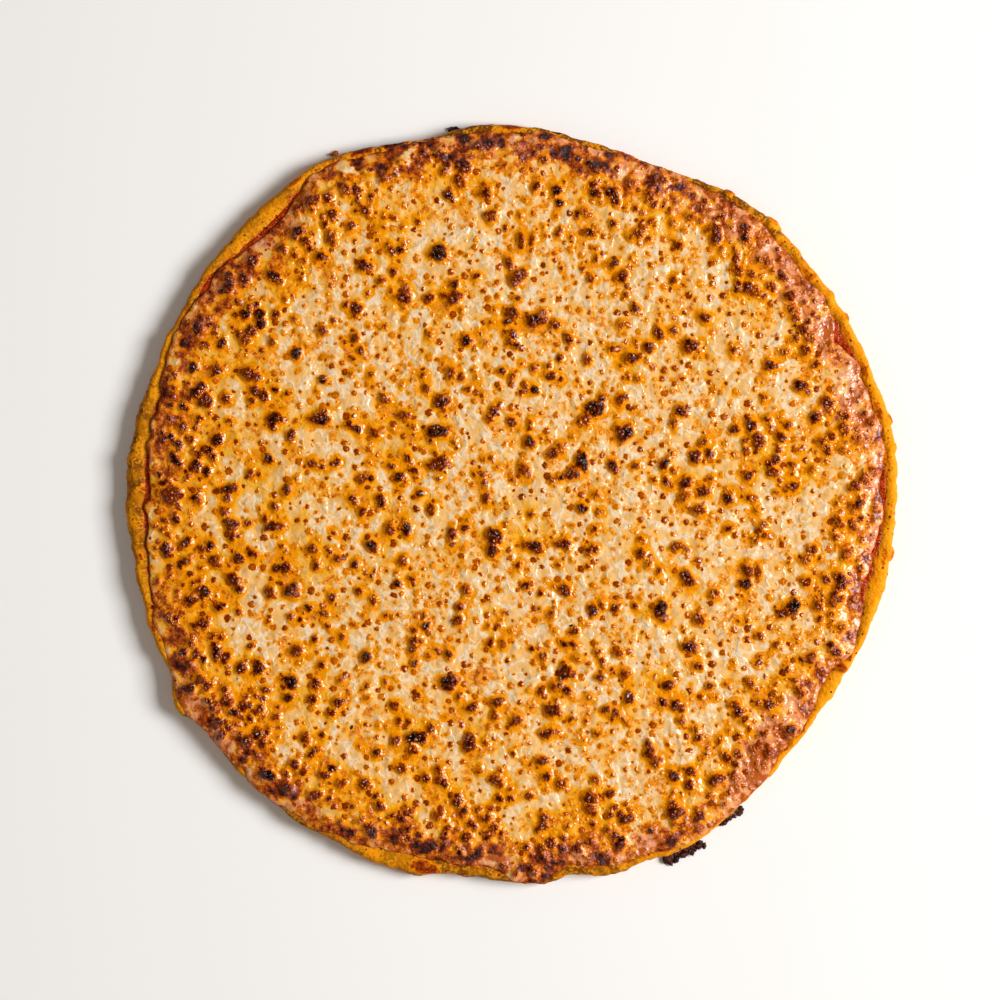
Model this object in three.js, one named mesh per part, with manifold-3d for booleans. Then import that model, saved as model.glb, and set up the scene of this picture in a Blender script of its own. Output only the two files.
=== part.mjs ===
// A thin twelve-inch cheese pizza: dough with a low uneven rim, a film of tomato sauce,
// and a sheet of melted cheese whose blisters are relief in its upper surface.
// Millimetres, +Z up, the origin in the middle of the underside.
// Angles are in degrees, counterclockwise from +X; an inset is measured inwards from the outline.
import * as THREE from 'three';
import { mergeVertices } from 'three/addons/utils/BufferGeometryUtils.js';
import Module from 'manifold-3d';

const wasm = await Module();
wasm.setup();

// Driving dimensions
const outlineBase = 153; // usual radius of the crust
const rimBase = 3.2; // usual width of the strip of bare crust
const rimLeast = 1;
const gap = 0.3; // clearance between one layer and the next

const side = [[3, 0], [0.9, 0.8], [0, 3.2], [0.3, 6]]; // rounded foot and side: [inset, height]
const crestInset = 0.3; // where the crest of the narrowest rim would be
const crestShare = 0.45; // and how far it moves in with the width of the rim
const wellHeight = 6.4; // top of the dough under the middle of the sauce
const lipHeight = 7.4; // top of the dough where the bare rim begins
const crestRise = 1.5; // crest of a full rim above that lip
const fullRim = 4;
const slopeWidth = 7; // from the lip down to the well

const sauceEdgeThickness = 0.3;
const sauceThickness = 0.8;
const sauceSetback = 2; // the cheese hides the sauce edge by this much

const cheeseEdgeThickness = 1.3;
const cheeseEdgeRound = 0.4; // the edge bellies out by this much
const cheeseEdgeReach = 2; // and levels off this far in
const cheeseThickness = 2.6;
const cheeseRings = [0.93, 0.8, 0.65, 0.5, 0.35, 0.18]; // shares of the well's radius
const cheeseSwell = 0.3; // slow rise and fall of the cheese
const swellLength = 17; // from the middle outwards
const swellLobes = 3; // around the turn

const turnSteps = 120;

const domeRise = 0.36; // height of a blister for each millimetre of its radius
const domeMostRise = 1.5;
const domeSunk = 0.3;
const domeSides = 8;
const smallDomeSides = 6;
const smallRadius = 3.3; // a blister under this radius is a small one
const edgeKeep = 3; // the smaller blisters stop this far inside the cheese's edge

// How the outline, the rim and the strip of bare sauce change around the turn:
// each row is [angle, half-width in degrees, amount in mm].
const outlineBulges = [
  [10, 16, 2], [70, 22, -5.9], [82, 10, -1.5], [92, 8, -1], [103, 10, -3],
  [122, 15, 3.6], [138, 14, 1.5], [175, 14, 1.7], [211, 5, 3.4], [255, 4, 0.9],
  [262, 9, -3.2], [270, 7, -1.8], [279, 5, -2.6], [296, 9, 1.2], [324, 28, -4.4],
];
const rimBulges = [
  [5, 14, 1.4], [67, 16, -2.6], [104, 8, -1.8], [131, 14, 4.2], [176, 28, 4.6],
  [217, 9, -2.2], [230, 5, -1.6], [253, 12, 5.4], [265, 6, 2.2], [272, 5, -2.8],
  [282, 10, 1.4], [308, 13, -2.2], [330, 7, 3.4], [348, 14, 3.4],
];
const sauceStrips = [
  [3, 6, 2.8], [26, 6, 3.2], [131, 11, 3], [144, 5, 2.2], [163, 5, 1.8],
  [181, 13, 2.2], [350, 11, 2.4],
];

// The blisters that stand out most: [x, y, radius].
const largeBlisters = [
  [-30, 29, 4.6], [-29, 100, 4.2], [9, 73, 4.3], [0, 76, 3.6], [18, 125, 2.8],
  [19, 120, 2.6], [33, 38, 4.3], [45, 28, 4], [28, 17, 4.2], [24, 12, 3.4],
  [-7, -13, 4.6], [9, -17, 4], [-42, -10, 3.2], [-24, -12, 3.4], [-29, 16, 4.6],
  [-28, 41, 3.8], [-23, 82, 4], [-43, 82, 3.6], [3, 91, 4], [-76, 34, 4.1],
  [-62, 30, 2.8], [-97, 18, 2.6], [-113, 6, 3.6], [-122, 41, 4], [-136, 3, 5],
  [-99, 43, 3.4], [-138, -18, 3.6], [-86, 60, 3], [-100, 72, 3.4], [-105, 52, 3.8],
  [-113, 86, 3.4], [-88, -34, 3.9], [-111, -30, 3.4], [-101, -65, 3.7], [-88, -71, 3.8],
  [-89, -77, 2.8], [-69, -79, 2.8], [-111, -83, 2.6], [-97, -108, 3.6], [-25, -71, 4.6],
  [-39, -93, 3.8], [-17, -95, 5], [21, -67, 4], [-6, -79, 3], [16, -82, 3.8],
  [31, -117, 3.8], [13, -125, 2.8], [82, 106, 3], [71, 63, 3.8], [77, 74, 2.8],
  [115, 47, 3.8], [59, -42, 4.2], [112, -41, 4], [131, -30, 3.2], [93, -32, 3.2],
  [86, 2, 2.8], [73, 19, 3.4], [76, 5, 3.2], [71, -57, 3.8], [62, -72, 3.2],
  [65, -123, 4.4], [129, -59, 3], [111, -90, 3.2], [103, 55, 3], [67, 37, 3],
  [48, 58, 3.3], [31, 108, 2.8], [41, 121, 3], [-18, 65, 2.8], [108, 90, 2.8],
  [-62, 78, 3.4], [-59, 95, 3.4],
];

// The rest follow a sunflower spiral, each shaken from its place.
const spiralCount = 100;
const spiralRadius = 146;
const spiralShake = 9;
const spiralLeast = 2.1;
const spiralMost = 3.2;
const blisterSpacing = 1.15; // least distance between two centres, in the sum of their radii

const radians = THREE.MathUtils.DEG2RAD;
const lerp = THREE.MathUtils.lerp;
const goldenAngle = 180 * (3 - Math.sqrt(5));

// A smooth rise centred on one angle
function bulge(angle, [centre, halfWidth, amount]) {
  const away = Math.abs(((angle - centre + 540) % 360) - 180);
  return away < halfWidth ? (amount * (1 + Math.cos((Math.PI * away) / halfWidth))) / 2 : 0;
}

function bulges(angle, rows) {
  return rows.reduce((total, row) => total + bulge(angle, row), 0);
}

function outline(angle) {
  return outlineBase + bulges(angle, outlineBulges);
}

function rim(angle) {
  return Math.max(rimLeast, rimBase + bulges(angle, rimBulges));
}

function bareSauce(angle) {
  return bulges(angle, sauceStrips);
}

function wellInset(angle) {
  return rim(angle) + slopeWidth;
}

function sauceInset(angle) {
  return rim(angle) + Math.max(0, sauceSetback - bareSauce(angle));
}

function cheeseInset(angle) {
  return rim(angle) + bareSauce(angle);
}

// How far the slope has come down at an inset: 0 at the lip, 1 in the well
function slopeShare(angle, inset) {
  return THREE.MathUtils.clamp((inset - rim(angle)) / slopeWidth, 0, 1);
}

function doughTop(angle, inset) {
  return lerp(lipHeight, wellHeight, slopeShare(angle, inset));
}

function sauceTop(angle, inset) {
  const thickness = lerp(sauceEdgeThickness, sauceThickness, slopeShare(angle, inset));
  return doughTop(angle, inset) + gap + thickness;
}

function cheeseBed(angle, inset) {
  return sauceTop(angle, inset) + gap;
}

function cheeseTop(angle, inset) {
  const from = cheeseInset(angle);
  const share = THREE.MathUtils.clamp((inset - from) / (wellInset(angle) - from), 0, 1);
  const thickness = lerp(cheeseEdgeThickness, cheeseThickness, Math.sqrt(share));
  const phase = (outline(angle) - inset) / swellLength + swellLobes * angle * radians;
  return cheeseBed(angle, inset) + thickness + cheeseSwell * share * Math.sin(phase);
}

// A lathed solid whose section, a list of [radius, height] from the axis around to the axis
// again, changes with the angle
function turned(sectionAt) {
  const first = sectionAt(0);
  const points = first.map(([radius, height]) => new THREE.Vector2(radius, height));
  const geometry = new THREE.LatheGeometry(points, turnSteps);
  const position = geometry.attributes.position;
  for (let step = 0; step <= turnSteps; step += 1) {
    const angle = ((step % turnSteps) * 360) / turnSteps;
    sectionAt(angle).forEach(([radius, height], row) => {
      const x = radius * Math.cos(angle * radians);
      const y = radius * Math.sin(angle * radians);
      position.setXYZ(step * first.length + row, x, y, height);
    });
  }
  return geometry;
}

// The section's corners are given as [inset, height], with null for a point on the axis.
function section(angle, corners) {
  const edge = outline(angle);
  return corners.map(([inset, height]) => [inset === null ? 0 : edge - inset, height]);
}

function doughSection(angle) {
  const width = rim(angle);
  const crest = lipHeight + crestRise * Math.min(1, width / fullRim);
  return section(angle, [
    [null, 0],
    ...side,
    [crestInset + crestShare * width, crest],
    [width, lipHeight],
    [wellInset(angle), wellHeight],
    [null, wellHeight],
  ]);
}

function sauceSection(angle) {
  const edge = sauceInset(angle);
  const well = wellInset(angle);
  return section(angle, [
    [null, wellHeight + gap],
    [well, wellHeight + gap],
    [edge, doughTop(angle, edge) + gap],
    [edge, sauceTop(angle, edge)],
    [well, sauceTop(angle, well)],
    [null, sauceTop(angle, well)],
  ]);
}

function cheeseSection(angle) {
  const edge = cheeseInset(angle);
  const well = wellInset(angle);
  const bed = cheeseBed(angle, edge);
  const wellRadius = outline(angle) - well;
  const rings = cheeseRings.map((share) => {
    const inset = outline(angle) - share * wellRadius;
    return [inset, cheeseTop(angle, inset)];
  });
  return section(angle, [
    [null, cheeseBed(angle, well)],
    [well, cheeseBed(angle, well)],
    [edge, bed],
    [edge - cheeseEdgeRound, bed + cheeseEdgeThickness / 2],
    [edge + cheeseEdgeRound, bed + cheeseEdgeThickness],
    [edge + cheeseEdgeReach, cheeseTop(angle, edge + cheeseEdgeReach)],
    [well, cheeseTop(angle, well)],
    ...rings,
    [null, cheeseBed(angle, well) + cheeseThickness],
  ]);
}

// A repeatable number from 0 to 1
function shaken(index, salt) {
  const wave = Math.sin(index * 12.9898 + salt * 78.233) * 43758.5453;
  return wave - Math.floor(wave);
}

function polar(x, y) {
  const angle = (Math.atan2(y, x) / radians + 360) % 360;
  return [angle, outline(angle) - Math.hypot(x, y)];
}

function blisters() {
  const found = largeBlisters.map(([x, y, radius]) => ({ x, y, radius }));
  for (let index = 0; index < spiralCount; index += 1) {
    const reach = spiralRadius * Math.sqrt((index + 0.5) / spiralCount);
    const turn = index * goldenAngle * radians;
    const x = reach * Math.cos(turn) + spiralShake * (shaken(index, 1) - 0.5);
    const y = reach * Math.sin(turn) + spiralShake * (shaken(index, 2) - 0.5);
    const radius = lerp(spiralLeast, spiralMost, shaken(index, 3) ** 2);
    const [angle, inset] = polar(x, y);
    const inside = inset - radius > cheeseInset(angle) + edgeKeep;
    const clear = found.every((other) => (
      Math.hypot(x - other.x, y - other.y) > blisterSpacing * (radius + other.radius)
    ));
    if (inside && clear) found.push({ x, y, radius });
  }
  return found;
}

function blisterDome({ x, y, radius }, index) {
  const rise = Math.min(domeMostRise, domeRise * radius);
  const sides = radius < smallRadius ? smallDomeSides : domeSides;
  const dome = new THREE.SphereGeometry(1, sides, 4);
  dome.rotateX(Math.PI / 2);
  dome.rotateZ(shaken(index, 4) * Math.PI);
  dome.scale(radius, radius * lerp(0.8, 1, shaken(index, 5)), rise + domeSunk);
  dome.rotateZ(shaken(index, 6) * Math.PI);
  const [angle, inset] = polar(x, y);
  dome.translate(x, y, cheeseTop(angle, inset) - domeSunk);
  return dome;
}

function solid(geometry) {
  geometry.deleteAttribute('normal');
  geometry.deleteAttribute('uv');
  const merged = mergeVertices(geometry);
  return new wasm.Manifold(new wasm.Mesh({
    numProp: 3,
    vertProperties: Float32Array.from(merged.attributes.position.array),
    triVerts: Uint32Array.from(merged.index.array),
  }));
}

function surface(body) {
  const mesh = body.getMesh();
  const geometry = new THREE.BufferGeometry();
  geometry.setAttribute('position', new THREE.BufferAttribute(mesh.vertProperties, 3));
  geometry.setIndex(new THREE.BufferAttribute(mesh.triVerts, 1));
  geometry.computeVertexNormals();
  return geometry;
}

function named(name, geometry, color, roughness) {
  const material = new THREE.MeshStandardMaterial({ color, roughness, metalness: 0 });
  const mesh = new THREE.Mesh(geometry, material);
  mesh.name = name;
  return mesh;
}

// Dough, flat below, with a rounded foot and a low rim
function makeDough() {
  return named('dough', surface(solid(turned(doughSection))), 0xdd9a1e, 0.8);
}

// Sauce, a thin sheet over the dough that shows in strips beside the rim
function makeSauce() {
  return named('tomato_sauce', surface(solid(turned(sauceSection))), 0x8c1a06, 0.4);
}

// Cheese, a sheet over the sauce with the blisters joined on
function makeCheese() {
  const sheet = solid(turned(cheeseSection));
  const domes = blisters().map((spot, index) => solid(blisterDome(spot, index)));
  const body = domes.reduce((whole, dome) => whole.add(dome), sheet);
  return named('melted_cheese', surface(body), 0xdf9f4c, 0.35);
}

const pizza = new THREE.Group();
pizza.add(makeDough(), makeSauce(), makeCheese());

export default pizza;
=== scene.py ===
import math

import bmesh
import bpy
import numpy as np
from mathutils import Matrix, Vector, noise


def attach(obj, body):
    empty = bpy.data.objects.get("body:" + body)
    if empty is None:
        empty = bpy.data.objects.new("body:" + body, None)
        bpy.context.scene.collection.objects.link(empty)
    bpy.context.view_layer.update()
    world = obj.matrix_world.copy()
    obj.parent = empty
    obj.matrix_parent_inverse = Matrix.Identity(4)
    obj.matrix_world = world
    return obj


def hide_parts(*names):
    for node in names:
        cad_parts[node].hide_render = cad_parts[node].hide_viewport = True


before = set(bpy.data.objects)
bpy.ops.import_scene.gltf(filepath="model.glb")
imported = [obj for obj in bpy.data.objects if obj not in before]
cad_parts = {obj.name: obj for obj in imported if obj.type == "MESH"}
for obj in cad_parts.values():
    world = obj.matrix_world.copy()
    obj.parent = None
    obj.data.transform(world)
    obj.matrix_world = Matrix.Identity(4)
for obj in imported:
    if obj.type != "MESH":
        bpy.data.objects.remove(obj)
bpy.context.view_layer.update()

# Cheese pizza, dressed around its CAD frame.
# Numbers are millimetres, and degrees counterclockwise from +X. A mesh becomes metres when it is finished.
# An inset is measured inwards from the outline of the crust.
metres = 0.001
scene = bpy.context.scene


# ---- camera and light

photo = {
    "side": 1000,  # pixels
    "pizzaAt": (512, 504),  # middle of the pizza, pixels from the top left
    "pixelSize": 0.4016,
    "cameraHeight": 1300,
    "sensor": 36,
}

studio = {
    "keyTurn": 2, "keyHeight": 40, "keyDistance": 2500, "keySize": 1100, "keyPower": 86,
    "fillTurn": 200, "fillHeight": 60, "fillDistance": 1400, "fillSize": 1500, "fillPower": 2,
    "worldColour": (1.0, 0.89, 0.74), "worldStrength": 0.2,
    "floorSize": 3000, "floorDrop": 0.2, "floorColour": (0.86, 0.85, 0.84),
}


def placeCamera():
    data = bpy.data.cameras.new("camera")
    data.sensor_width = photo["sensor"]
    data.lens = photo["sensor"] * photo["cameraHeight"] / (photo["side"] * photo["pixelSize"])
    data.clip_end = 20
    camera = bpy.data.objects.new("camera", data)
    scene.collection.objects.link(camera)
    column, row = photo["pizzaAt"]
    middle = photo["side"] / 2
    across = (middle - column) * photo["pixelSize"]
    up = (row - middle) * photo["pixelSize"]
    camera.location = Vector((across, up, photo["cameraHeight"])) * metres
    scene.camera = camera


def areaLight(name, turn, height, distance, size, power):
    data = bpy.data.lights.new(name, "AREA")
    data.shape = "SQUARE"
    data.size = size * metres
    data.energy = power
    light = bpy.data.objects.new(name, data)
    scene.collection.objects.link(light)
    turn, height = math.radians(turn), math.radians(height)
    level = math.cos(height)
    towards = Vector((level * math.cos(turn), level * math.sin(turn), math.sin(height)))
    light.location = towards * distance * metres
    light.rotation_euler = towards.to_track_quat("Z", "Y").to_euler()
    return light


def lightStudio():
    areaLight("keyLight", studio["keyTurn"], studio["keyHeight"], studio["keyDistance"],
              studio["keySize"], studio["keyPower"])
    fill = areaLight("fillLight", studio["fillTurn"], studio["fillHeight"], studio["fillDistance"],
                     studio["fillSize"], studio["fillPower"])
    fill.visible_glossy = False
    world = bpy.data.worlds.new("studio")
    world.use_nodes = True
    background = world.node_tree.nodes["Background"]
    background.inputs["Color"].default_value = (*studio["worldColour"], 1)
    background.inputs["Strength"].default_value = studio["worldStrength"]
    world.cycles_visibility.glossy = False
    scene.world = world
    scene.view_settings.view_transform = "Standard"


placeCamera()
lightStudio()
print("camera and lights placed")


# ---- the plan of the pizza; each row of a bulge list is [angle, half-width, amount]

plan = {
    "outlineBase": 153,
    "outlineBulges": [
        [10, 16, 2], [70, 22, -5.9], [82, 10, -1.5], [92, 8, -1], [103, 10, -3],
        [122, 15, 3.6], [138, 14, 1.5], [175, 14, 1.7], [211, 5, 3.4], [255, 4, 0.9],
        [262, 9, -3.2], [270, 7, -1.8], [279, 5, -2.6], [296, 9, 1.2], [324, 28, -4.4],
    ],
    "rimBase": 3.2, "rimLeast": 0.6,
    "rimBulges": [
        [5, 14, 1.4], [67, 16, -2.6], [104, 8, -1.8], [131, 14, 4.2], [176, 28, 4.6],
        [217, 9, -2.2], [230, 5, -1.6], [253, 12, 5.4], [265, 6, 2.2], [272, 5, -2.8],
        [282, 10, 1.4], [308, 13, -2.2], [330, 7, 3.4], [348, 14, 3.4], [30, 40, 1.2],
    ],
    "sauceStrips": [
        [3, 6, 2.8], [26, 6, 3.2], [131, 11, 3], [144, 5, 2.2], [163, 5, 1.8],
        [181, 13, 2.2], [350, 11, 2.4],
    ],
    "wellHeight": 6.4, "lipHeight": 7.4, "slopeWidth": 7,
    "crestRise": 1.5, "fullRim": 4, "crestInset": 0.3, "crestShare": 0.45,
    "gap": 0.3, "sauceEdge": 0.3, "sauceThickness": 0.8, "sauceSetback": 2,
    "cheeseThickness": 2.6, "cheeseSwell": 0.3, "swellLength": 17, "swellLobes": 3,
}
ringAngles = np.linspace(0, 360, 2881)


def bulges(angle, rows):
    total = np.zeros_like(angle)
    for centre, halfWidth, amount in rows:
        away = np.abs((angle - centre + 540) % 360 - 180)
        total += np.where(away < halfWidth, amount * (1 + np.cos(np.pi * away / halfWidth)) / 2, 0)
    return total


def ringNoise(angle, salt, lobes):  # smooth and closed around the turn, about -0.6 to 0.6
    reach = lobes / (2 * math.pi)
    turns = np.radians(ringAngles)
    values = [noise.noise((reach * math.cos(turn), reach * math.sin(turn), salt)) for turn in turns]
    return np.interp(angle % 360, ringAngles, values)


def outlineAt(angle):
    waver = 0.9 * ringNoise(angle, 3.1, 60) + 0.6 * ringNoise(angle, 9.7, 170)
    return plan["outlineBase"] + bulges(angle, plan["outlineBulges"]) + waver


def rimAt(angle):
    waver = 1.1 * ringNoise(angle, 5.5, 60) + 0.7 * ringNoise(angle, 7.2, 170)
    return np.maximum(plan["rimBase"] + bulges(angle, plan["rimBulges"]) + waver, plan["rimLeast"])


def cheeseInsetAt(angle):
    bare = bulges(angle, plan["sauceStrips"]) * (1 + 0.5 * ringNoise(angle, 2.3, 90))
    waver = 1.3 * ringNoise(angle, 6.4, 110) + 0.8 * ringNoise(angle, 8.8, 260)
    return np.maximum(rimAt(angle) + bare + waver, 0.7)


def slopeShare(inset, rim):  # 0 at the lip of the rim, 1 in the well
    return np.clip((inset - rim) / plan["slopeWidth"], 0, 1)


def doughTop(inset, rim):
    return plan["lipHeight"] + (plan["wellHeight"] - plan["lipHeight"]) * slopeShare(inset, rim)


def sauceTop(inset, rim):
    extra = plan["sauceThickness"] - plan["sauceEdge"]
    return doughTop(inset, rim) + plan["gap"] + plan["sauceEdge"] + extra * slopeShare(inset, rim)


def smoothStep(value, low, high):
    share = np.clip((value - low) / (high - low), 0, 1)
    return share * share * (3 - 2 * share)


def fieldNoise(points, size, salt, octaves=1):  # one number for each point, about -0.7 to 0.7
    shift = Vector((17.3, 5.1, 3.7)) * salt
    scaled = [Vector(point) / size + shift for point in points.tolist()]
    if octaves == 1:
        return np.array([noise.noise(point) for point in scaled])
    return np.array([noise.fractal(point, 0.9, 2.1, octaves) for point in scaled])


# ---- mesh helpers

def meshArray(mesh, name):
    values = np.empty(len(mesh.vertices) * 3)
    mesh.vertices.foreach_get(name, values)
    return values.reshape(-1, 3)


def setPoints(mesh, points):
    mesh.vertices.foreach_set("co", points.ravel())
    mesh.update()


def addLayer(mesh, name, values):
    attribute = mesh.attributes.new(name, "FLOAT", "POINT")
    attribute.data.foreach_set("value", values)


def toMesh(name, bm):
    mesh = bpy.data.meshes.new(name)
    bm.to_mesh(mesh)
    bm.free()
    return mesh


def polar(points):
    angle = np.degrees(np.arctan2(points[:, 1], points[:, 0])) % 360
    return angle, np.hypot(points[:, 0], points[:, 1])


def onRing(angle, radius, height):
    turn = np.radians(angle)
    return np.stack([radius * np.cos(turn), radius * np.sin(turn), height], axis=1)


def finishPiece(name, mesh, material, nodes=()):
    mesh.transform(Matrix.Scale(metres, 4))
    mesh.materials.append(material)
    mesh.shade_smooth()
    piece = bpy.data.objects.new(name, mesh)
    scene.collection.objects.link(piece)
    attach(piece, "root")
    for node in nodes:
        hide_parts(node)
    print(f"{name}: {sum(len(face.vertices) - 2 for face in mesh.polygons)} triangles")


def stackedRings(name, rings, steps):  # a circle extruded ring after ring, then capped
    bm = bmesh.new()
    bmesh.ops.create_circle(bm, segments=steps, radius=1)
    ring = bm.verts.layers.int.new("ring")
    edges = bm.edges[:]
    for index in range(1, rings):
        edges = extrudeOn(bm, edges, ring, index)
    bmesh.ops.holes_fill(bm, edges=[edge for edge in bm.edges if edge.is_boundary], sides=0)
    mesh = toMesh(name, bm)
    angle = polar(meshArray(mesh, "co"))[0]
    return mesh, angle, takeLayer(mesh, "ring")


def extrudeOn(bm, edges, layer, number):  # one more ring of faces, whose far vertices get that number
    made = bmesh.ops.extrude_edge_only(bm, edges=edges)["geom"]
    for vert in made:
        if isinstance(vert, bmesh.types.BMVert):
            vert[layer] = number
    return [edge for edge in made if isinstance(edge, bmesh.types.BMEdge) and edge.is_boundary]


def pointOutwards(mesh, triangles=False):
    bm = bmesh.new()
    bm.from_mesh(mesh)
    if triangles:
        bmesh.ops.triangulate(bm, faces=bm.faces, quad_method="SHORT_EDGE")
    bmesh.ops.recalc_face_normals(bm, faces=bm.faces)
    bm.to_mesh(mesh)
    bm.free()


def takeLayer(mesh, name):  # reads a whole-number layer and removes it
    values = np.empty(len(mesh.vertices), int)
    mesh.attributes[name].data.foreach_get("value", values)
    mesh.attributes.remove(mesh.attributes[name])
    return values


# ---- node helpers

def plug(tree, socket, source):  # a number, a colour or another node's output
    if isinstance(source, bpy.types.NodeSocket):
        tree.links.new(source, socket)
    elif socket.type == "RGBA":
        socket.default_value = (*source, 1)
    else:
        socket.default_value = source


def addNode(tree, kind, inputs=None, **settings):
    node = tree.nodes.new(kind)
    for name, value in settings.items():
        setattr(node, name, value)
    for name, source in (inputs or {}).items():
        plug(tree, node.inputs[name], source)
    return node


def calc(tree, operation, *sources):
    node = addNode(tree, "ShaderNodeMath", operation=operation)
    for socket, source in zip(node.inputs, sources):
        plug(tree, socket, source)
    return node.outputs[0]


def addShare(tree, value, share, base):  # value * share + base
    return calc(tree, "MULTIPLY_ADD", value, share, base)


def remap(tree, value, low, high, newLow=0, newHigh=1, smooth=True):
    kind = "SMOOTHSTEP" if smooth else "LINEAR"
    sources = {"Value": value, "From Min": low, "From Max": high, "To Min": newLow, "To Max": newHigh}
    return addNode(tree, "ShaderNodeMapRange", sources, interpolation_type=kind).outputs["Result"]


def mixColour(tree, factor, first, second):
    node = addNode(tree, "ShaderNodeMix", data_type="RGBA")
    plug(tree, node.inputs[0], factor)
    plug(tree, node.inputs[6], first)
    plug(tree, node.inputs[7], second)
    return node.outputs[2]


def noiseValue(tree, where, size, detail=2, roughness=0.5):  # features of about that many millimetres
    sources = {"Vector": where, "Scale": 1 / size, "Detail": detail, "Roughness": roughness}
    return addNode(tree, "ShaderNodeTexNoise", sources).outputs["Fac"]


def millimetrePlace(tree):
    place = addNode(tree, "ShaderNodeTexCoord").outputs["Object"]
    return addNode(tree, "ShaderNodeMapping", {"Vector": place, "Scale": (1000, 1000, 1000)}).outputs[0]


def layerValue(tree, name):
    return addNode(tree, "ShaderNodeAttribute", attribute_name=name).outputs["Fac"]


def newMaterial(name, settings):
    material = bpy.data.materials.new(name)
    material.use_nodes = True
    shader = material.node_tree.nodes["Principled BSDF"]
    for socket, value in settings.items():
        shader.inputs[socket].default_value = value
    return material, material.node_tree, shader


def raiseSurface(tree, shader, height, distance):  # metres for each unit of height
    bump = addNode(tree, "ShaderNodeBump", {"Height": height, "Distance": distance, "Strength": 1})
    plug(tree, shader.inputs["Normal"], bump.outputs["Normal"])


def newGroup(name, inputs, outputs):
    group = bpy.data.node_groups.new(name, "ShaderNodeTree")
    for label, kind in inputs.items():
        group.interface.new_socket(label, in_out="INPUT", socket_type=kind)
    for label, kind in outputs.items():
        group.interface.new_socket(label, in_out="OUTPUT", socket_type=kind)
    return group, group.nodes.new("NodeGroupInput").outputs, group.nodes.new("NodeGroupOutput").inputs


def placeGroup(tree, group, inputs):
    node = tree.nodes.new("ShaderNodeGroup")
    node.node_tree = group
    for name, source in inputs.items():
        plug(tree, node.inputs[name], source)
    return node.outputs


# ---- shared effects

browningColours = [  # how toasted, and the colour there
    (0.0, (0.84, 0.44, 0.05)), (0.12, (0.83, 0.35, 0.006)), (0.26, (0.79, 0.24, 0.0)),
    (0.45, (0.56, 0.12, 0.0)), (0.65, (0.30, 0.042, 0.0)), (0.86, (0.13, 0.011, 0.0)),
    (0.97, (0.06, 0.005, 0.0)), (1.0, (0.014, 0.002, 0.0005)),
]


def makeBrowning():  # from the plain colour through gold and mahogany to char
    group, given, result = newGroup("browning", {"Plain": "NodeSocketColor", "Toast": "NodeSocketFloat"},
                                    {"Colour": "NodeSocketColor"})
    ramp = addNode(group, "ShaderNodeValToRGB", {"Fac": given["Toast"]})
    stops = ramp.color_ramp.elements
    for share, colour in browningColours[1:-1]:
        stops.new(share).color = (*colour, 1)
    stops[0].color = (*browningColours[0][1], 1)
    stops[len(stops) - 1].color = (*browningColours[-1][1], 1)
    share = remap(group, given["Toast"], 0.0, 0.26)
    plug(group, result["Colour"], mixColour(group, share, given["Plain"], ramp.outputs["Color"]))
    return group


def makeSpots():  # round spots, one in a cell, and how far inside one a point is
    group, given, result = newGroup(
        "spots",
        {"Place": "NodeSocketVector", "Cell": "NodeSocketFloat", "Least": "NodeSocketFloat",
         "Most": "NodeSocketFloat", "Share": "NodeSocketFloat"},
        {"Spot": "NodeSocketFloat", "Chance": "NodeSocketFloat"})
    scale = calc(group, "DIVIDE", 1, given["Cell"])
    cells = addNode(group, "ShaderNodeTexVoronoi", {"Vector": given["Place"], "Scale": scale},
                    voronoi_dimensions="2D")
    chances = addNode(group, "ShaderNodeSeparateColor", {"Color": cells.outputs["Color"]}).outputs
    away = calc(group, "MULTIPLY", cells.outputs["Distance"], given["Cell"])
    size = calc(group, "POWER", chances[0], 1.6)
    radius = addNode(group, "ShaderNodeMapRange", {"Value": size, "To Min": given["Least"],
                                                   "To Max": given["Most"]}).outputs["Result"]
    depth = calc(group, "SUBTRACT", radius, away)
    left = calc(group, "GREATER_THAN", chances[1], given["Share"])
    plug(group, result["Spot"], calc(group, "MULTIPLY_ADD", left, -20, depth))
    plug(group, result["Chance"], chances[2])
    return group


def makeGrain():  # fine and coarse unevenness, each about -0.5 to 0.5
    group, given, result = newGroup(
        "grain", {"Place": "NodeSocketVector", "Fine": "NodeSocketFloat", "Coarse": "NodeSocketFloat"},
        {"Fine": "NodeSocketFloat", "Coarse": "NodeSocketFloat"})
    for label, detail in (("Fine", 0), ("Coarse", 1)):
        scale = calc(group, "DIVIDE", 1, given[label])
        sources = {"Vector": given["Place"], "Scale": scale, "Detail": detail, "Roughness": 0.4}
        value = addNode(group, "ShaderNodeTexNoise", sources).outputs["Fac"]
        plug(group, result[label], calc(group, "SUBTRACT", value, 0.5))
    return group


browning = makeBrowning()
spots = makeSpots()
grain = makeGrain()
print("shared effects made")


# ---- crust

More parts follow.
